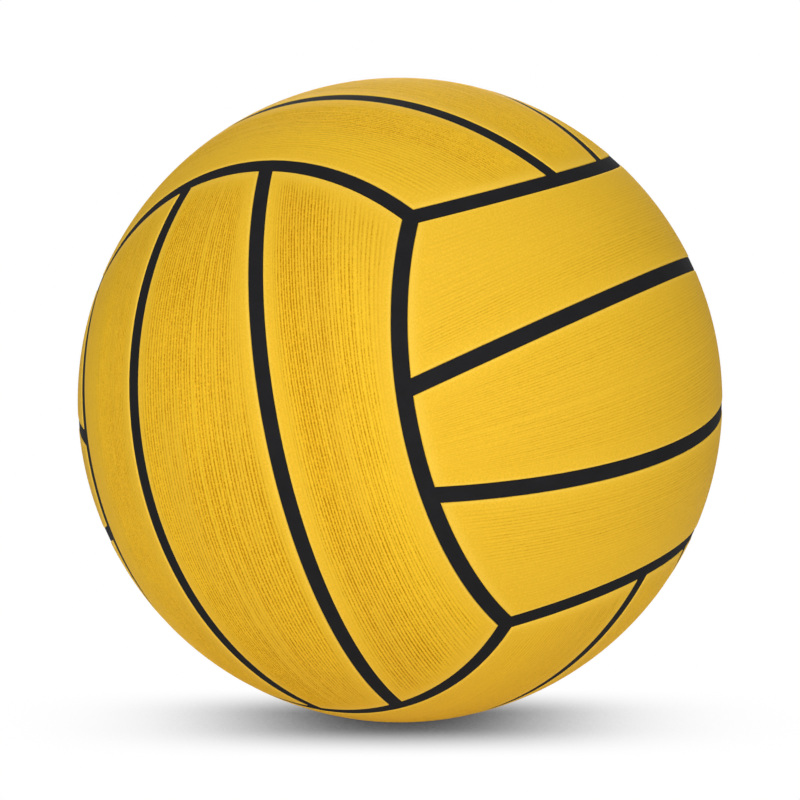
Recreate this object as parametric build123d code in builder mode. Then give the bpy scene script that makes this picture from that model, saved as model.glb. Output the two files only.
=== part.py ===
from build123d import *
from math import acos, asin, cos, degrees, radians, sin, sqrt
import os

os.makedirs("parts", exist_ok=True)

# The inflated ball, in millimetres and degrees
ball_diameter = 220.0

# Layers of the wall, from the cover inwards
panel_thickness = 1.0
carcass_thickness = 0.6
winding_thickness = 0.5
bladder_thickness = 0.8
bond_gap = 0.1

# Seams: black channels between the cover panels
seam_width = 4.9
seam_depth = 0.2
middle_strip_half_angle = 14.0
panel_edge_radius = 0.5

# How the seam pattern stands when the ball rests as photographed
seam_lean_angle = 13.33
seam_turn_angle = 33.1

# Valve: a self-sealing plug in a moulded housing
valve_recess = 0.8
needle_bore_radius = 1.1
needle_bore_depth = 10.0
needle_lead_in = 0.5
plug_wall = 1.3
plug_floor = 4.0
plug_tip_chamfer = 0.8
plug_head_lip = 0.8
plug_head_height = 1.6
plug_clearance = 0.1
housing_wall = 0.9
housing_tail = 2.0
flange_width = 9.0
flange_thickness = 1.2
hole_clearance = 0.2

# Radii of the layers
ball_radius = ball_diameter / 2
panel_inner_radius = ball_radius - panel_thickness
carcass_floor_radius = panel_inner_radius - bond_gap
carcass_inner_radius = carcass_floor_radius - carcass_thickness
winding_outer_radius = carcass_inner_radius - bond_gap
winding_inner_radius = winding_outer_radius - winding_thickness
bladder_outer_radius = winding_inner_radius - bond_gap
bladder_inner_radius = bladder_outer_radius - bladder_thickness
seam_rib_radius = ball_radius - seam_depth
flange_outer_radius = bladder_inner_radius - bond_gap
flange_inner_radius = flange_outer_radius - flange_thickness

# Radii and heights of the valve, measured from its axis and from the ball's centre
plug_stem_radius = needle_bore_radius + plug_wall
plug_head_radius = plug_stem_radius + plug_head_lip
plug_bore_radius = plug_stem_radius + plug_clearance
plug_seat_radius = plug_head_radius + plug_clearance
housing_radius = plug_seat_radius + housing_wall
flange_radius = housing_radius + flange_width
valve_hole_radius = housing_radius + hole_clearance
mouth_height = ball_radius - valve_recess
head_floor_height = mouth_height - plug_head_height
seat_floor_height = head_floor_height - plug_clearance
needle_neck_height = mouth_height - needle_lead_in
needle_floor_height = needle_neck_height - needle_bore_depth
plug_tip_height = needle_floor_height - plug_floor
housing_tail_height = plug_tip_height - housing_tail

# The face seams are small circles that meet above the corners of a cube
face_seam_latitude = asin(1 / sqrt(3))

# Each face has a plane at the ball's centre: X along its strips, Y across them, Z outwards
ball_centre = Vector(0, 0, 0)
pattern = Plane(Location(ball_centre, (0, -seam_lean_angle, -seam_turn_angle)))
faces = {
    "top": Plane(ball_centre, pattern.x_dir, pattern.z_dir),
    "bottom": Plane(ball_centre, pattern.x_dir, -pattern.z_dir),
    "front_right": Plane(ball_centre, pattern.y_dir, pattern.x_dir),
    "back_left": Plane(ball_centre, pattern.y_dir, -pattern.x_dir),
    "back_right": Plane(ball_centre, pattern.z_dir, pattern.y_dir),
    "front_left": Plane(ball_centre, pattern.z_dir, -pattern.y_dir),
}
strips = {"first": -1, "middle": 0, "last": 1}
valve_panel = ("back_right", "middle")
valve_face = faces[valve_panel[0]]
valve_mouth = Plane(valve_face.z_dir * ball_radius, valve_face.x_dir, valve_face.z_dir)
valve_section = Plane(ball_centre, valve_face.x_dir, -valve_face.y_dir)
valve_axis = Axis(ball_centre, valve_face.z_dir)


def inner_seam_normal(face, side):
    """Unit normal of the plane between the middle strip and the strip on one side, towards that side."""
    tilt = radians(middle_strip_half_angle)
    return face.y_dir * (side * cos(tilt)) - face.z_dir * sin(tilt)


def strip_skin(face, side, radius, margin):
    """The patch of a sphere that one strip covers, kept a margin away from its seams' centre lines."""
    margin_angle = margin / ball_radius
    end_height = radius * sin(face_seam_latitude + margin_angle)
    side_height = radius * sin(face_seam_latitude - margin_angle)
    inner_offset = radius * sin(margin_angle)
    with BuildPart() as cap:
        # A ball turned about the face's cross axis, so that no pole lies inside the strip
        with BuildSketch(Plane(ball_centre, face.y_dir, face.x_dir)):
            with BuildLine():
                half_circle = CenterArc((0, 0), radius, 180, 180)
                Line(half_circle @ 1, half_circle @ 0)
            make_face()
        revolve(axis=Axis(ball_centre, face.y_dir))
        # The end seams cut it off below the face, the side and inner seams along the strip
        split(bisect_by=Plane(face.z_dir * end_height, z_dir=face.z_dir), keep=Keep.TOP)
        if side == 0:
            for neighbour in (-1, 1):
                normal = inner_seam_normal(face, neighbour)
                split(bisect_by=Plane(normal * -inner_offset, z_dir=-normal), keep=Keep.TOP)
        else:
            normal = inner_seam_normal(face, side)
            outward = face.y_dir * side
            split(bisect_by=Plane(normal * inner_offset, z_dir=normal), keep=Keep.TOP)
            split(bisect_by=Plane(outward * side_height, z_dir=-outward), keep=Keep.TOP)
    return cap.faces().filter_by(GeomType.SPHERE)[0]


# Valve passage: the round way through every layer, in which the housing stands
with BuildPart() as valve_passage:
    with BuildSketch(valve_mouth):
        Circle(valve_hole_radius)
    extrude(amount=ball_radius - flange_inner_radius, both=True)

# Bladder: airtight inner ball
with BuildPart() as bladder:
    Sphere(bladder_outer_radius)
    Sphere(bladder_inner_radius, mode=Mode.SUBTRACT)
    add(valve_passage.part, mode=Mode.SUBTRACT)
bladder.part.label = "bladder"
export_step(bladder.part, "parts/bladder.step")

# Winding: thread layer that keeps the bladder round
with BuildPart() as winding:
    Sphere(winding_outer_radius)
    Sphere(winding_inner_radius, mode=Mode.SUBTRACT)
    add(valve_passage.part, mode=Mode.SUBTRACT)
winding.part.label = "winding"
export_step(winding.part, "parts/winding.step")

# Carcass: black rubber shell whose raised ribs are the seams and whose pockets take the panels
pocket_margin = seam_width / 2 - bond_gap
pocket_depth = ball_radius - carcass_floor_radius
pocket_floors = []
for face in faces.values():
    for side in strips.values():
        pocket_floors.append(strip_skin(face, side, carcass_floor_radius, pocket_margin))
with BuildPart() as carcass:
    Sphere(seam_rib_radius)
    Sphere(carcass_inner_radius, mode=Mode.SUBTRACT)
    for pocket_floor in pocket_floors:
        thicken(pocket_floor, amount=pocket_depth, mode=Mode.SUBTRACT)
    add(valve_passage.part, mode=Mode.SUBTRACT)
carcass.part.label = "carcass"
export_step(carcass.part, "parts/carcass.step")

# Cover: eighteen panels, each bonded into its own pocket
for face_name, face in faces.items():
    for strip_name, side in strips.items():
        panel_name = f"panel_{face_name}_{strip_name}"
        panel_skin = strip_skin(face, side, ball_radius, seam_width / 2)
        with BuildPart() as panel:
            thicken(panel_skin, amount=-panel_thickness)
            if (face_name, strip_name) == valve_panel:
                add(valve_passage.part, mode=Mode.SUBTRACT)
            rim = panel.edges().filter_by(lambda edge: (edge @ 0.5).length > ball_radius - bond_gap)
            fillet(rim, panel_edge_radius)
        panel.part.label = panel_name
        export_step(panel.part, f"parts/{panel_name}.step")

# Valve housing: a tube through the wall on a flange bonded to the bladder's inside
with BuildPart() as valve_housing:
    with BuildSketch(valve_section):
        with BuildLine():
            root_angle = degrees(acos(housing_radius / flange_outer_radius))
            rim_angle = degrees(acos(flange_radius / flange_outer_radius))
            under_rim_angle = degrees(acos((flange_radius - flange_thickness) / flange_inner_radius))
            under_root_angle = degrees(acos(housing_radius / flange_inner_radius))
            flange_top = CenterArc((0, 0), flange_outer_radius, root_angle, rim_angle - root_angle)
            flange_under = CenterArc(
                (0, 0), flange_inner_radius, under_rim_angle, under_root_angle - under_rim_angle
            )
            Line(flange_top @ 1, flange_under @ 0)
            Polyline(
                flange_under @ 1,
                (housing_radius, housing_tail_height),
                (plug_bore_radius, housing_tail_height),
                (plug_bore_radius, seat_floor_height),
                (plug_seat_radius, seat_floor_height),
                (plug_seat_radius, mouth_height),
                (housing_radius, mouth_height),
                flange_top @ 0,
            )
        make_face()
    revolve(axis=valve_axis)
valve_housing.part.label = "valve_housing"
export_step(valve_housing.part, "parts/valve_housing.step")

# Valve core: a soft stepped plug with a blind bore for the inflating needle
with BuildPart() as valve_core:
    with BuildSketch(valve_section):
        with BuildLine():
            Polyline(
                (needle_bore_radius + needle_lead_in, mouth_height),
                (plug_head_radius, mouth_height),
                (plug_head_radius, head_floor_height),
                (plug_stem_radius, head_floor_height),
                (plug_stem_radius, plug_tip_height + plug_tip_chamfer),
                (plug_stem_radius - plug_tip_chamfer, plug_tip_height),
                (0, plug_tip_height),
                (0, needle_floor_height),
                (needle_bore_radius, needle_floor_height),
                (needle_bore_radius, needle_neck_height),
                close=True,
            )
        make_face()
    revolve(axis=valve_axis)
valve_core.part.label = "valve_core"
export_step(valve_core.part, "parts/valve_core.step")
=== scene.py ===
import math

import bpy
import numpy as np
from mathutils import Matrix, Vector


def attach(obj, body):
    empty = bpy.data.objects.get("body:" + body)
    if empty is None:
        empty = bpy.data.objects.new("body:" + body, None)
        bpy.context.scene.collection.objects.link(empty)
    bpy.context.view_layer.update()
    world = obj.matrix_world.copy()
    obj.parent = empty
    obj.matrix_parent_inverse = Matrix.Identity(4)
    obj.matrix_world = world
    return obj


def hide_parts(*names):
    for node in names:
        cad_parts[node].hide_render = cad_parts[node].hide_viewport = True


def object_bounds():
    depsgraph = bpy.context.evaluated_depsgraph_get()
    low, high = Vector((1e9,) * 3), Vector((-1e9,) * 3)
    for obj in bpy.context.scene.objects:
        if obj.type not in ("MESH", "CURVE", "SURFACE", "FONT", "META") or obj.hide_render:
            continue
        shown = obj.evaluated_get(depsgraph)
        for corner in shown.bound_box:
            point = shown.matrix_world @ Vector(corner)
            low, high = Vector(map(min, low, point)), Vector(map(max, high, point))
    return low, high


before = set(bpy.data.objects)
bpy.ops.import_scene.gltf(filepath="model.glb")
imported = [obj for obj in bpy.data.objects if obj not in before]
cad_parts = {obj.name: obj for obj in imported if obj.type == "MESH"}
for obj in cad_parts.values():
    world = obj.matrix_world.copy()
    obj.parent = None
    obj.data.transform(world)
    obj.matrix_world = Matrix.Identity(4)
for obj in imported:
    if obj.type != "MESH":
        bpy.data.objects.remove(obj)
cad_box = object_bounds()

# The ball and its seams, in metres and radians, as the solids have them
ball_centre = (cad_box[0] + cad_box[1]) / 2
ball_radius = (cad_box[1].z - cad_box[0].z) / 2
panel_thickness = 0.0010
panel_inner_radius = ball_radius - panel_thickness
panel_edge_radius = 0.0005
seam_width = 0.0049
middle_strip_half_angle = math.radians(14.0)
face_seam_latitude = math.asin(1 / math.sqrt(3))
seam_lean_angle = math.radians(13.33)
seam_turn_angle = math.radians(33.1)
valve_panel = "back_right_middle"
valve_hole_radius = 0.0044

# Moulded grip ribs, which run along every strip
usual_rib_pitch = 0.00100
rib_pitch = {"front_left_middle": 0.00130}
usual_rib_lean = math.radians(1.0)
rib_lean = {"front_left_middle": math.radians(-2.5)}
rib_wander = 0.00015
usual_rib_depth = 0.65
rib_depths = {
    "front_left_middle": 1.5,
    "front_left_first": 1.95,
    "front_left_last": 1.1,
    "front_right_first": 0.3,
    "front_right_middle": 0.25,
    "front_right_last": 0.25,
    "top_first": 1.0,
    "top_middle": 1.0,
    "top_last": 1.0,
    "bottom_first": 0.5,
}
rib_taper = {"front_left_first": 0.3}

# The groove between two ribs: how deep it is at some places across it, at a rib depth of 1
groove_depth = 0.00020
groove_shape = ((0.0, 0.0), (0.27, 0.2), (0.5, 1.0), (0.73, 0.2))
groove_jitter = 0.3

# Shares of the depth that every groove has, and that single lines, stretches of them and patches add
even_depth = 0.2
line_depth = 0.35
stretch_depth = 0.25
patch_depth = 0.4

# What is left of a middle strip's middle groove, and what a side strip's outer grooves lose
middle_groove_share = 0.3
outer_groove_loss = 0.55
outer_groove_range = (0.4, 0.75)

# Lengths along the ribs, and numbers of ribs across them, over which their course and depth change
wander_length, wander_ribs = 0.030, 12
line_length = 0.060
stretch_length = 0.012
patch_length, patch_ribs = 0.050, 9
patch_range = (0.15, 0.8)

# Smooth margins beside the seams: the ribs rise from a start to a margin, which varies by a spread
margin_start = 0.0015
margin_length = 0.050
margin_spread = 0.006
near_margin = 0.003
inner_margin_extra = 0.0015
outer_margin = 0.006
end_margin_start = 0.002
end_margin = 0.005
end_margin_spread = 0.008
end_margin_ribs = 2

# Where the cover's colour changes: a painted highlight beside the panels' edges, and a painted highlight
# where they are ribbed
edge_highlight_range = (0.0004, 0.0014)
even_ridge_highlight = 0.25
patch_ridge_highlight = 0.6

# Each point's details for the material: groove, edge, ribbed, and its places across and along the strip.
# Groove masks the painted shade in the grooves, edge and ribbed the painted highlights
shown_details = ("groove", "edge", "ribbed")
across_detail, along_detail = 3, 4
underside_details = (0, 1, 0, 1, 1)

# Smooth disc round the valve, and the rings of points in it
smooth_disc_radius = 0.0085
smooth_disc_fade = 0.002
disc_row_count = 25
disc_row_clearance = 1.2
disc_hole_share = 0.97
disc_ring_radius = 0.0078

# The panels' grids
row_pitch = 0.0036
edge_steps = 4
underside_steps = (4, 8)
layout_rounds = 24
middle_straightening = 0.3
sharp_angle = math.radians(50)
first_seed = 100
metres_to_millimetres = 1000

# Camera and floor shadow, as in the photograph
camera_distance = 0.6719
camera_elevation = math.radians(7.28)
camera_lens = 87.43
camera_sensor = 36.0
shadow_middle = -0.0146
shadow_core = 0.008
shadow_reach = 0.042


def smoothstep(low, high, value):
    """0 below low, 1 above high, with a soft rise between them."""
    share = np.clip((value - low) / (high - low), 0, 1)
    return share * share * (3 - 2 * share)


def smooth_field(random, rows, columns):
    """Smooth random values from 0 to 1 with one knot to each whole row and column."""
    row_base = np.floor(rows).astype(int)
    column_base = np.floor(columns).astype(int)
    row_share = smoothstep(0, 1, rows - row_base)[:, None]
    column_share = smoothstep(0, 1, columns - column_base)[None, :]
    row_base = (row_base - row_base.min())[:, None]
    column_base = (column_base - column_base.min())[None, :]
    knots = random.random((row_base.max() + 2, column_base.max() + 2))
    lower = knots[row_base, column_base] * (1 - column_share)
    lower += knots[row_base, column_base + 1] * column_share
    upper = knots[row_base + 1, column_base] * (1 - column_share)
    upper += knots[row_base + 1, column_base + 1] * column_share
    return lower * (1 - row_share) + upper * row_share


# Strips: each face of the ball has three, laid out by angle along them and latitude across them


def side_walls(strip, angle, inset):
    """Latitudes of a strip's two side walls at an angle along it, moved inwards by an inset."""
    margin = (seam_width / 2 + inset) / ball_radius
    rise = math.sin(middle_strip_half_angle) * np.cos(angle)
    run = math.cos(middle_strip_half_angle)
    seam_latitude = np.arctan2(rise, run)
    margin_latitude = np.arcsin(np.sin(margin) / np.hypot(rise, run))
    if strip == "middle":
        return margin_latitude - seam_latitude, seam_latitude - margin_latitude
    return seam_latitude + margin_latitude, face_seam_latitude - margin + 0 * angle


def end_wall(latitude, inset):
    """Angle at which a strip's end wall stands at a latitude, moved inwards by an inset."""
    margin = (seam_width / 2 + inset) / ball_radius
    return np.arccos(np.sin(face_seam_latitude + margin) / np.cos(latitude))


def strip_layout(strip, across, across_inset, along, along_inset):
    """Angles and latitudes of a grid on a strip, from its rows' and columns' shares and insets.

    The strip's width changes towards its ends. Its outer columns take up most of that change,
    so that the ribs run nearly side by side.
    """
    angle = np.zeros((len(along), len(across_inset)))
    middle_low, middle_high = side_walls(strip, 0 * angle, across_inset[None, :])
    if strip == "middle":
        from_middle = 2 * across - 1
        straightening = middle_straightening * (from_middle**3 - from_middle) / 2
    else:
        straightening = across**3 - across
    for _ in range(layout_rounds):
        low, high = side_walls(strip, angle, across_inset[None, :])
        widening = (high - low) - (middle_high - middle_low)
        latitude = low + across * (high - low) + straightening * widening
        angle = along[:, None] * end_wall(latitude, along_inset[:, None])
    return angle, latitude


def wall_distances(strip, angle, latitude):
    """How far each point of a strip's grid lies from its two side walls and from the nearest end wall."""
    low, high = side_walls(strip, angle, 0.0)
    height = np.arcsin(np.cos(latitude) * np.cos(angle))
    to_end = (height - face_seam_latitude) * ball_radius - seam_width / 2
    return (latitude - low) * ball_radius, (high - latitude) * ball_radius, to_end


def on_ball(angle, latitude, radius):
    """Points in a face's own axes: X along its strips, Y across them, Z outwards."""
    return np.stack(
        (
            radius * np.cos(latitude) * np.sin(angle),
            radius * np.sin(latitude),
            radius * np.cos(latitude) * np.cos(angle),
        ),
        axis=-1,
    )


# Panels

edge_insets = panel_edge_radius * (1 - np.cos(np.linspace(0, math.pi / 2, edge_steps + 1)))


def bordered(shares):
    """Shares and insets of grid lines: those of the rounded edge at both ends, and the shares between."""
    edge = np.zeros(edge_steps)
    middle_inset = np.full(len(shares), edge_insets[-1])
    inset = np.concatenate((edge_insets[:-1], middle_inset, edge_insets[:-1][::-1]))
    return np.concatenate((edge + shares[0], shares, edge + shares[-1])), inset


def edge_drop(distance):
    """How far the rounded edge lies below the ball's surface, at a distance from a wall."""
    inside = np.clip(panel_edge_radius - distance, 0, panel_edge_radius)
    return panel_edge_radius - np.sqrt(panel_edge_radius**2 - inside**2)


def rib_columns(random, width, pitch):
    """Grid lines across a strip: their shares of its width, groove depths, ribs, and the number of ribs."""
    rib_count = 2 * round(width / pitch / 2) + 1
    rib = np.repeat(np.arange(rib_count), len(groove_shape))
    phase = np.tile([place for place, _ in groove_shape], rib_count)
    depth = np.tile([depth for _, depth in groove_shape], rib_count)
    jitter = groove_jitter * (random.random(rib_count) - 0.5)
    shares = (rib + phase + np.where(phase > 0, jitter[rib], 0)) / rib_count
    return np.append(shares, 1.0), np.append(depth, 0.0), np.append(rib, rib_count - 1), rib_count


def row_shares(half_length, has_valve):
    """Grid lines along a strip as shares of its half length, closer together round the valve."""
    shares = np.linspace(-1, 1, 2 * round(half_length / row_pitch) + 1)
    if has_valve:
        disc_share = smooth_disc_radius / half_length
        shares = shares[np.abs(shares) > disc_row_clearance * disc_share]
        shares = np.sort(np.append(shares, np.linspace(-disc_share, disc_share, disc_row_count)))
    return shares


def ribbed_surface(strip, seed, pitch, rib_depth, taper, lean, has_valve):
    """Angles, latitudes, heights and details of the points on a panel's outer grid."""
    random = np.random.default_rng(seed)
    middle_low, middle_high = side_walls(strip, np.zeros(1), np.zeros(1))
    width = (middle_high - middle_low)[0] * ball_radius
    half_length = ball_radius * end_wall(np.zeros(1), np.zeros(1))[0]
    column_shares, column_depth, rib, rib_count = rib_columns(random, width, pitch)
    across, across_inset = bordered(column_shares)
    along, along_inset = bordered(row_shares(half_length, has_valve))
    column_depth = np.pad(column_depth, edge_steps)
    rib = np.pad(rib, edge_steps, mode="edge")

    # Ribs lean and wander a little together
    row_place = along * half_length
    wander = 2 * smooth_field(random, row_place / wander_length, across * rib_count / wander_ribs) - 1
    wander = wander * (rib_wander / width) * 4 * across * (1 - across)
    lean_share = math.tan(lean) * row_place[:, None] / width * (1 - np.abs(2 * across - 1) ** 3)
    across = across + wander + lean_share
    angle, latitude = strip_layout(strip, across, across_inset, along, along_inset)
    to_low, to_high, to_end = wall_distances(strip, angle, latitude)

    # Grooves are deep in some lines, stretches and patches, and faint in others
    lines = smooth_field(random, row_place / line_length, rib)
    stretches = smooth_field(random, row_place / stretch_length, rib)
    patches = smoothstep(*patch_range, smooth_field(random, row_place / patch_length, rib / patch_ribs))

    # They end at ragged margins beside the seams, and at the smooth disc round the valve
    def side_margin(least):
        return least + margin_spread * smooth_field(random, row_place / margin_length, np.zeros(1))

    low_margin = side_margin(near_margin)
    high_margin = side_margin(near_margin)
    if strip == "side":
        low_margin = low_margin + inner_margin_extra
        high_margin = side_margin(outer_margin)
    end_reach = end_margin + end_margin_spread * smooth_field(random, np.zeros(1), rib / end_margin_ribs)
    fade = smoothstep(margin_start, low_margin, to_low) * smoothstep(margin_start, high_margin, to_high)
    fade = fade * smoothstep(end_margin_start, end_reach, to_end)
    place_across = latitude * ball_radius
    place_along = angle * ball_radius
    if has_valve:
        to_valve = np.hypot(place_across, place_along)
        fade = fade * smoothstep(smooth_disc_radius, smooth_disc_radius + smooth_disc_fade, to_valve)

    strength = even_depth + line_depth * lines + stretch_depth * stretches + patch_depth * patches
    strength = rib_depth * fade * strength * (1 - taper * along[:, None])
    if strip == "middle":
        strength[:, rib == rib_count // 2] *= middle_groove_share
    else:
        strength = strength * (1 - outer_groove_loss * smoothstep(*outer_groove_range, across))

    to_wall = np.minimum(np.minimum(to_low, to_high), to_end)
    height = -edge_drop(to_wall) - groove_depth * column_depth * strength
    # Masks for the painted shade in the grooves, the painted highlight beside the walls and the painted
    # highlight where the strip is ribbed
    groove = np.clip(column_depth * strength, 0, 1)
    edge = 1 - smoothstep(*edge_highlight_range, to_wall)
    ribbed = np.clip(fade * rib_depth * (even_ridge_highlight + patch_ridge_highlight * patches), 0, 1)
    return angle, latitude, height, np.stack((groove, edge, ribbed, place_across, place_along), axis=-1)


def around(row_low, row_high, column_low, column_high):
    """Grid places round a block of cells, in order."""
    path = [(row_low, column) for column in range(column_low, column_high)]
    path += [(row, column_high) for row in range(row_low, row_high)]
    path += [(row_high, column) for column in range(column_high, column_low, -1)]
    path += [(row, column_low) for row in range(row_high, row_low, -1)]
    return path


def band(first, second):
    """Faces between two rings of as many points."""
    following = [*range(1, len(first)), 0]
    return [[second[end], second[start], first[start], first[end]] for start, end in enumerate(following)]


def coarse_lines(count, step):
    """Every so many of a grid's lines, and the last one."""
    return sorted({*range(0, count, step), count - 1})


def panel_mesh(angle, latitude, height, details, has_valve):
    """A panel as a closed mesh in its face's own axes: its points, faces and points' details."""
    rows, columns = angle.shape
    outer = np.arange(angle.size).reshape(rows, columns)

    # The underside has no ribs. It keeps only some of the grid's lines, apart from its outline
    row_step, column_step = (1, 1) if has_valve else underside_steps
    coarse_rows = coarse_lines(rows, row_step)
    coarse_columns = coarse_lines(columns, column_step)
    kept = np.zeros((rows, columns), bool)
    kept[np.ix_(coarse_rows, coarse_columns)] = True
    kept[[0, -1], :] = True
    kept[:, [0, -1]] = True
    inner = np.full((rows, columns), -1)
    inner[kept] = outer.size + np.arange(kept.sum())
    points = [
        on_ball(angle, latitude, ball_radius + height).reshape(-1, 3),
        on_ball(angle[kept], latitude[kept], panel_inner_radius),
    ]
    point_details = [details.reshape(-1, details.shape[-1]), details[kept] * underside_details]

    # The square round the valve gives way to rings
    hole_rows, hole_columns = (0, 0), (0, 0)
    if has_valve:
        hole_half = disc_hole_share * smooth_disc_radius
        hole_rows = np.flatnonzero(np.abs(details[:, columns // 2, along_detail]) < hole_half)[[0, -1]]
        hole_columns = np.flatnonzero(np.abs(details[rows // 2, :, across_detail]) < hole_half)[[0, -1]]

    def in_hole(row, column):
        return hole_rows[0] <= row < hole_rows[1] and hole_columns[0] <= column < hole_columns[1]

    faces = []
    for row in range(rows - 1):
        for column in range(columns - 1):
            if not in_hole(row, column):
                corners = around(row, row + 1, column, column + 1)
                faces.append([outer[place] for place in corners])
    for row_low, row_high in zip(coarse_rows, coarse_rows[1:]):
        for column_low, column_high in zip(coarse_columns, coarse_columns[1:]):
            if not in_hole(row_low, column_low):
                corners = around(row_low, row_high, column_low, column_high)
                faces.append([inner[place] for place in corners if inner[place] >= 0][::-1])
    outline = around(0, rows - 1, 0, columns - 1)
    faces += band([inner[place] for place in outline], [outer[place] for place in outline])

    if has_valve:
        outline = around(*hole_rows, *hole_columns)
        turn = np.array([math.atan2(latitude[place], angle[place]) for place in outline])
        flat = np.zeros(len(turn))
        profile = [(disc_ring_radius - valve_hole_radius, ball_radius)]
        profile += [(inset, ball_radius - edge_drop(inset)) for inset in edge_insets[::-1]]
        profile += [(0.0, panel_inner_radius)]
        previous = [outer[place] for place in outline]
        base = outer.size + int(kept.sum())
        for inset, radius in profile:
            place_along = (valve_hole_radius + inset) * np.cos(turn)
            place_across = (valve_hole_radius + inset) * np.sin(turn)
            edge = flat + 1 - smoothstep(*edge_highlight_range, inset)
            points.append(on_ball(place_along / ball_radius, place_across / ball_radius, radius))
            point_details.append(np.stack((flat, edge, flat, place_across, place_along), axis=-1))
            ring = [base + number for number in range(len(turn))]
            base += len(turn)
            faces += band(previous, ring)
            previous = ring
        faces += band(previous, [inner[place] for place in outline])

    return np.concatenate(points), faces, np.concatenate(point_details)


def new_piece(name, points, faces):
    """A smooth-shaded mesh object in the scene."""
    mesh = bpy.data.meshes.new(name)
    mesh.from_pydata(points.tolist(), [], faces)
    mesh.shade_smooth()
    mesh.set_sharp_from_angle(angle=sharp_angle)
    piece = bpy.data.objects.new(name, mesh)
    bpy.context.scene.collection.objects.link(piece)
    return piece


# Materials: how much of a noise's range they use, and their colours, shares and finish
noise_range = (0.3, 0.7)
narrow_noise_range = (0.35, 0.65)
wide_noise_range = (0.2, 0.8)
plain_yellow = (0.83, 0.495, 0.029, 1)
plain_patch_yellow = (0.86, 0.515, 0.036, 1)
light_speckle_yellow, light_speckle_share = (1.0, 0.61, 0.046, 1), 0.8
# A brighter yellow painted where the strip is ribbed, as a highlight on the ridges
ridge_highlight_yellow = (1.0, 0.625, 0.034, 1)
dark_speckle_yellow, dark_speckle_share = (0.82, 0.475, 0.014, 1), 0.3
grain_yellow, grain_share = (0.72, 0.42, 0.012, 1), 0.32
# A darker orange painted into the grooves as their shade
groove_shade_yellow, groove_shade_power = (0.50, 0.225, 0.0, 1), 0.75
# A paler yellow painted beside the panels' edges as a highlight on their rounded edges
edge_highlight_yellow, edge_highlight_share = (1.0, 0.66, 0.090, 1), 0.4
dash_groove_range = (0.55, 1.3)
speckle_groove_range = (0.1, 1.9)
patch_groove_range = (0.75, 1.2)
cover_roughness_range = (0.6, 0.75)
cover_gloss = 0.06
streak_scale = (1.0, 0.15, 1.0)
rubber_roughness_spread = 0.08
thread_white = (0.78, 0.76, 0.70, 1)
thread_shadow = (0.42, 0.40, 0.36, 1)
white = (1, 1, 1, 1)


def new_material(name):
    """A material with nodes, its node tree and its shader."""
    material = bpy.data.materials.new(name)
    material.use_nodes = True
    return material, material.node_tree, material.node_tree.nodes["Principled BSDF"]


def node(tree, kind, inputs=None, **settings):
    """A node with its settings, and its inputs set to values or linked to other nodes' outputs."""
    made = tree.nodes.new(kind)
    for name, value in settings.items():
        setattr(made, name, value)
    for name, value in (inputs or {}).items():
        if isinstance(value, bpy.types.NodeSocket):
            tree.links.new(value, made.inputs[name])
        else:
            made.inputs[name].default_value = value
    return made


def calculate(tree, operation, *values):
    """The result of a mathematical operation on one or two values."""
    return node(tree, "ShaderNodeMath", dict(enumerate(values)), operation=operation).outputs["Value"]


def attribute(tree, name):
    """The value that a mesh has under a name at each point."""
    return node(tree, "ShaderNodeAttribute", attribute_name=name).outputs["Fac"]


def noise(tree, vector, scale, detail, roughness):
    """The value of a noise texture."""
    inputs = {"Vector": vector, "Scale": scale, "Detail": detail, "Roughness": roughness}
    return node(tree, "ShaderNodeTexNoise", inputs).outputs["Fac"]


def remap(tree, value, low, high, new_low, new_high):
    """A value moved from one range to another, and kept inside it."""
    inputs = {"Value": value, "From Min": low, "From Max": high, "To Min": new_low, "To Max": new_high}
    return node(tree, "ShaderNodeMapRange", inputs).outputs["Result"]


def mix_colour(tree, factor, first, second):
    """One colour where the factor is 0, another where it is 1."""
    return node(tree, "ShaderNodeMix", {0: factor, 6: first, 7: second}, data_type="RGBA").outputs[2]


def bump(tree, shader, height, strength, distance):
    """A bump on a shader's normal, from a height that goes from 0 to 1 over a distance."""
    made = node(tree, "ShaderNodeBump", {"Strength": strength, "Distance": distance, "Height": height})
    tree.links.new(made.outputs["Normal"], shader.inputs["Normal"])


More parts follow.
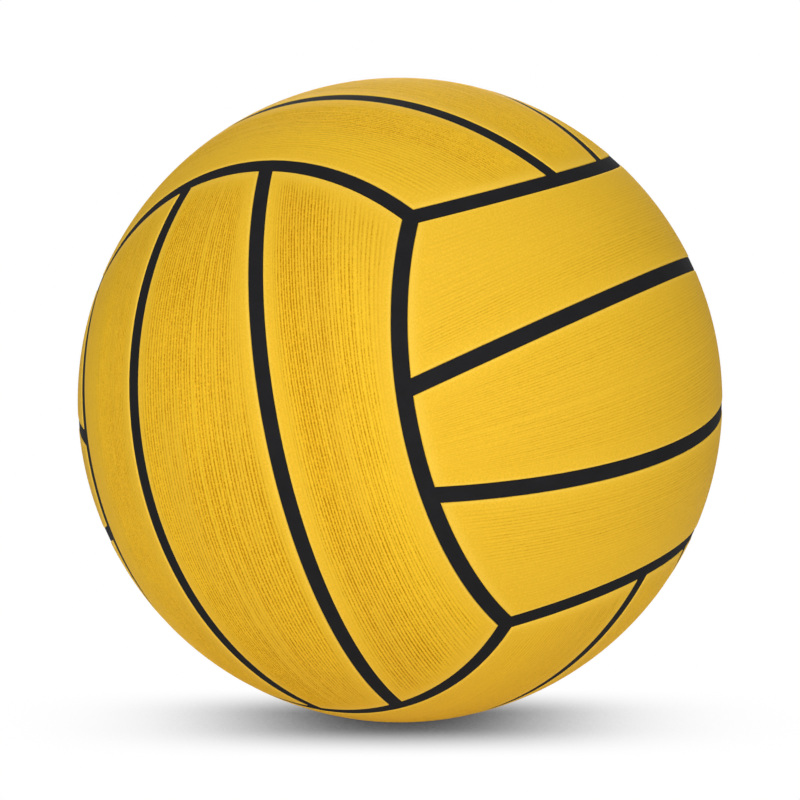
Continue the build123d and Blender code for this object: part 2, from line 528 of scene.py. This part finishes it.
def cover_material():
    """Yellow rubber, darker in the grooves with painted shade, brighter with painted highlights where it is
    ribbed and beside the panels' edges, with faint patches and a fine grain.
    """
    material, tree, shader = new_material("cover_yellow_rubber")
    groove, edge, ribbed = (attribute(tree, name) for name in shown_details)
    strip = node(tree, "ShaderNodeUVMap", uv_map="strip").outputs["UV"]
    place = node(tree, "ShaderNodeTexCoord").outputs["Object"]
    streaks = node(tree, "ShaderNodeMapping", {"Vector": strip, "Scale": streak_scale}).outputs["Vector"]
    dashes = noise(tree, streaks, scale=1.3, detail=3.0, roughness=0.6)
    speckle = noise(tree, strip, scale=1.6, detail=2.0, roughness=0.6)
    patches = noise(tree, place, scale=26.0, detail=3.0, roughness=0.55)
    grain = noise(tree, place, scale=1700.0, detail=2.0, roughness=0.6)

    # Painted shade in the grooves: the groove share, raised to a power and scaled by dashes, speckle and
    # patches
    depth = calculate(tree, "POWER", groove, groove_shade_power)
    for value, value_range, depth_range in (
        (dashes, noise_range, dash_groove_range),
        (speckle, noise_range, speckle_groove_range),
        (patches, narrow_noise_range, patch_groove_range),
    ):
        depth = calculate(tree, "MULTIPLY", depth, remap(tree, value, *value_range, *depth_range))
    patch_factor = remap(tree, patches, *noise_range, 0.0, 1.0)
    light_factor = remap(tree, speckle, *noise_range, 0.0, light_speckle_share)
    dark_factor = remap(tree, speckle, *noise_range, dark_speckle_share, 0.0)
    grain_factor = remap(tree, grain, *narrow_noise_range, grain_share, 0.0)
    # Painted highlight beside the panels' edges
    edge_highlight_factor = calculate(tree, "MULTIPLY", edge, edge_highlight_share)
    # Colours mixed in turn: patches, light speckle, a painted highlight where ribbed, dark speckle, grain,
    # painted shade in the grooves and a painted highlight beside the edges
    yellow = plain_yellow
    for factor, colour in (
        (patch_factor, plain_patch_yellow),
        (light_factor, light_speckle_yellow),
        (ribbed, ridge_highlight_yellow),
        (dark_factor, dark_speckle_yellow),
        (grain_factor, grain_yellow),
        (depth, groove_shade_yellow),
        (edge_highlight_factor, edge_highlight_yellow),
    ):
        yellow = mix_colour(tree, factor, yellow, colour)
    tree.links.new(yellow, shader.inputs["Base Color"])
    roughness = remap(tree, grain, *wide_noise_range, *cover_roughness_range)
    tree.links.new(roughness, shader.inputs["Roughness"])
    shader.inputs["Specular IOR Level"].default_value = cover_gloss
    bump(tree, shader, grain, strength=0.8, distance=0.00006)
    return material


def dark_rubber(name, low, high, roughness, gloss, grain_scale):
    """Matte rubber with a mottled colour and a fine grain."""
    material, tree, shader = new_material(name)
    place = node(tree, "ShaderNodeTexCoord").outputs["Object"]
    mottle = noise(tree, place, scale=140.0, detail=4.0, roughness=0.6)
    grain = noise(tree, place, scale=grain_scale, detail=3.0, roughness=0.6)
    roughness_range = (roughness - rubber_roughness_spread, roughness + rubber_roughness_spread)
    tree.links.new(mix_colour(tree, mottle, low, high), shader.inputs["Base Color"])
    tree.links.new(remap(tree, grain, *wide_noise_range, *roughness_range), shader.inputs["Roughness"])
    shader.inputs["Specular IOR Level"].default_value = gloss
    bump(tree, shader, grain, strength=0.3, distance=0.0001)
    return material


def thread_material():
    """Nylon thread wound round and round in two directions."""
    material, tree, shader = new_material("winding_white_nylon")
    place = node(tree, "ShaderNodeTexCoord").outputs["Object"]
    inputs = {"Vector": place, "Scale": 300.0, "Distortion": 1.5, "Detail": 2.0}
    threads = [
        node(tree, "ShaderNodeTexWave", inputs, bands_direction=direction).outputs["Fac"]
        for direction in ("X", "Z")
    ]
    weave = calculate(tree, "MAXIMUM", *threads)
    tree.links.new(mix_colour(tree, weave, thread_shadow, thread_white), shader.inputs["Base Color"])
    shader.inputs["Roughness"].default_value = 0.6
    bump(tree, shader, weave, strength=0.6, distance=0.0003)
    return material


node_materials = {
    "bladder": dark_rubber(
        "bladder_black_rubber",
        low=(0.010, 0.010, 0.011, 1),
        high=(0.022, 0.021, 0.021, 1),
        roughness=0.45,
        gloss=0.2,
        grain_scale=900.0,
    ),
    "winding": thread_material(),
    "carcass": dark_rubber(
        "seam_black_rubber",
        low=(0.013, 0.013, 0.014, 1),
        high=(0.021, 0.021, 0.023, 1),
        roughness=0.7,
        gloss=0.015,
        grain_scale=1800.0,
    ),
    "valve_housing": dark_rubber(
        "housing_black_rubber",
        low=(0.009, 0.009, 0.009, 1),
        high=(0.015, 0.015, 0.015, 1),
        roughness=0.5,
        gloss=0.1,
        grain_scale=2400.0,
    ),
    "valve_core": dark_rubber(
        "plug_grey_rubber",
        low=(0.022, 0.022, 0.023, 1),
        high=(0.034, 0.034, 0.036, 1),
        roughness=0.45,
        gloss=0.2,
        grain_scale=2400.0,
    ),
}
for node_name, material in node_materials.items():
    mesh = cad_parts[node_name].data
    mesh.materials.clear()
    mesh.materials.append(material)

# Cover: eighteen ribbed panels
cover_rubber = cover_material()
pattern = Matrix.Rotation(-seam_lean_angle, 3, "Y") @ Matrix.Rotation(-seam_turn_angle, 3, "Z")
along_x, along_y, along_z = pattern.col
ball_faces = {
    "top": (along_x, along_z),
    "bottom": (along_x, -along_z),
    "front_right": (along_y, along_x),
    "back_left": (along_y, -along_x),
    "back_right": (along_z, along_y),
    "front_left": (along_z, -along_y),
}
strip_names = ("first", "middle", "last")
for face_number, (face_name, (x_dir, z_dir)) in enumerate(ball_faces.items()):
    for strip_number, strip_name in enumerate(strip_names):
        panel = f"{face_name}_{strip_name}"
        has_valve = panel == valve_panel
        angle, latitude, height, details = ribbed_surface(
            strip="middle" if strip_name == "middle" else "side",
            seed=first_seed + len(strip_names) * face_number + strip_number,
            pitch=rib_pitch.get(panel, usual_rib_pitch),
            rib_depth=rib_depths.get(panel, usual_rib_depth),
            taper=rib_taper.get(panel, 0.0),
            lean=rib_lean.get(panel, usual_rib_lean),
            has_valve=has_valve,
        )
        points, polygons, details = panel_mesh(angle, latitude, height, details, has_valve)
        turn = -1 if strip_name == "first" else 1
        axes = np.array([x_dir * turn, z_dir.cross(x_dir) * turn, z_dir])
        piece = new_piece(f"ribbed_{panel}", points @ axes + np.array(ball_centre), polygons)
        mesh = piece.data
        for number, attribute_name in enumerate(shown_details):
            values = mesh.attributes.new(attribute_name, "FLOAT", "POINT")
            values.data.foreach_set("value", details[:, number].astype(np.float32))
        corner_points = np.zeros(len(mesh.loops), np.int32)
        mesh.loops.foreach_get("vertex_index", corner_points)
        places = metres_to_millimetres * details[corner_points, across_detail:]
        mesh.uv_layers.new(name="strip").data.foreach_set("uv", places.astype(np.float32).ravel())
        mesh.materials.append(cover_rubber)
        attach(piece, "ball")
        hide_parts(f"panel_{face_name}_{strip_name}")

# Floor: white to the camera, apart from a soft shadow painted into its glow where the ball stands on it,
# from the ball's occlusion and faded out towards and away from the camera
floor_half = 6.0
floor_height = cad_box[0].z
floor_signs = ((-1, -1), (1, -1), (1, 1), (-1, 1))
floor_corners = [(x * floor_half, y * floor_half, floor_height) for x, y in floor_signs]
floor_mesh = bpy.data.meshes.new("floor")
floor_mesh.from_pydata(floor_corners, [], [(0, 1, 2, 3)])
floor = bpy.data.objects.new("floor", floor_mesh)
bpy.context.scene.collection.objects.link(floor)


def seen_rays(tree):
    """1 for the rays that show a background: straight from the camera, mirrored or through glass."""
    path = node(tree, "ShaderNodeLightPath").outputs
    mirrored = calculate(tree, "MAXIMUM", path["Is Camera Ray"], path["Is Glossy Ray"])
    return calculate(tree, "MAXIMUM", mirrored, path["Is Transmission Ray"])


shelter_reach = 0.6
shadow_steps = (
    (0.0, 0.03),
    (0.1, 0.17),
    (0.28, 0.52),
    (0.4, 0.73),
    (0.5, 0.87),
    (0.62, 0.965),
    (0.75, 1.0),
)
floor_material, tree, shader = new_material("floor_white")
shader.inputs["Base Color"].default_value = (0.97, 0.97, 0.97, 1)
shader.inputs["Emission Color"].default_value = white
shader.inputs["Emission Strength"].default_value = 0.07
shader.inputs["Roughness"].default_value = 0.9
shelter = node(tree, "ShaderNodeAmbientOcclusion", {"Distance": shelter_reach}, samples=16)
ramp = node(tree, "ShaderNodeValToRGB", {"Fac": shelter.outputs["AO"]})
while len(ramp.color_ramp.elements) < len(shadow_steps):
    ramp.color_ramp.elements.new(0.5)
for element, (open_share, brightness) in zip(ramp.color_ramp.elements, shadow_steps):
    element.position = open_share
    element.color = (brightness, brightness, brightness, 1)
position = node(tree, "ShaderNodeNewGeometry").outputs["Position"]
depth_place = node(tree, "ShaderNodeSeparateXYZ", {"Vector": position}).outputs["Y"]
from_shadow = calculate(tree, "ABSOLUTE", calculate(tree, "SUBTRACT", depth_place, shadow_middle))
lift = node(
    tree,
    "ShaderNodeMapRange",
    {"Value": from_shadow, "From Min": shadow_core, "From Max": shadow_reach},
    interpolation_type="SMOOTHSTEP",
).outputs["Result"]
shade = mix_colour(tree, lift, ramp.outputs["Color"], white)
glow = node(tree, "ShaderNodeEmission", {"Color": shade, "Strength": 1.0}).outputs["Emission"]
floor_mix = node(tree, "ShaderNodeMixShader", {0: seen_rays(tree), 1: shader.outputs["BSDF"], 2: glow})
tree.links.new(floor_mix.outputs["Shader"], tree.nodes["Material Output"].inputs["Surface"])
floor_mesh.materials.append(floor_material)

# Light: a white room, darker to the left and right, and tall soft lamps in front of and behind the ball
room_range = (0.2, 0.9)
room_light_range = (0.43, 0.05)
lamp_width = 0.5
lamp_height = 1.3
lamps = {
    "soft_front": (Vector((-0.05, -1.36, 0.68)), 14.2),
    "soft_back": (Vector((0.0, 1.36, 0.68)), 13.0),
}
world = bpy.data.worlds.new("studio")
world.use_nodes = True
tree = world.node_tree
background = tree.nodes["Background"]
background.inputs["Color"].default_value = white
direction = node(tree, "ShaderNodeTexCoord").outputs["Generated"]
sideways = node(tree, "ShaderNodeSeparateXYZ", {"Vector": direction}).outputs["X"]
room_light = remap(tree, calculate(tree, "ABSOLUTE", sideways), *room_range, *room_light_range)
tree.links.new(remap(tree, seen_rays(tree), 0.0, 1.0, room_light, 1.0), background.inputs["Strength"])
bpy.context.scene.world = world

for lamp_name, (place, energy) in lamps.items():
    lamp_data = bpy.data.lights.new(lamp_name, "AREA")
    lamp_data.shape = "RECTANGLE"
    lamp_data.size = lamp_width
    lamp_data.size_y = lamp_height
    lamp_data.energy = energy
    lamp = bpy.data.objects.new(lamp_name, lamp_data)
    lamp.location = place
    lamp.rotation_mode = "QUATERNION"
    lamp.rotation_quaternion = (ball_centre - place).to_track_quat("-Z", "Y")
    bpy.context.scene.collection.objects.link(lamp)

# Camera
camera_data = bpy.data.cameras.new("camera")
camera_data.lens = camera_lens
camera_data.sensor_width = camera_sensor
camera = bpy.data.objects.new("camera", camera_data)
towards_camera = Vector((0.0, -math.cos(camera_elevation), math.sin(camera_elevation)))
camera.location = ball_centre + towards_camera * camera_distance
camera.rotation_mode = "QUATERNION"
camera.rotation_quaternion = (-towards_camera).to_track_quat("-Z", "Y")
bpy.context.scene.collection.objects.link(camera)
bpy.context.scene.camera = camera
bpy.context.scene.view_settings.view_transform = "Standard"
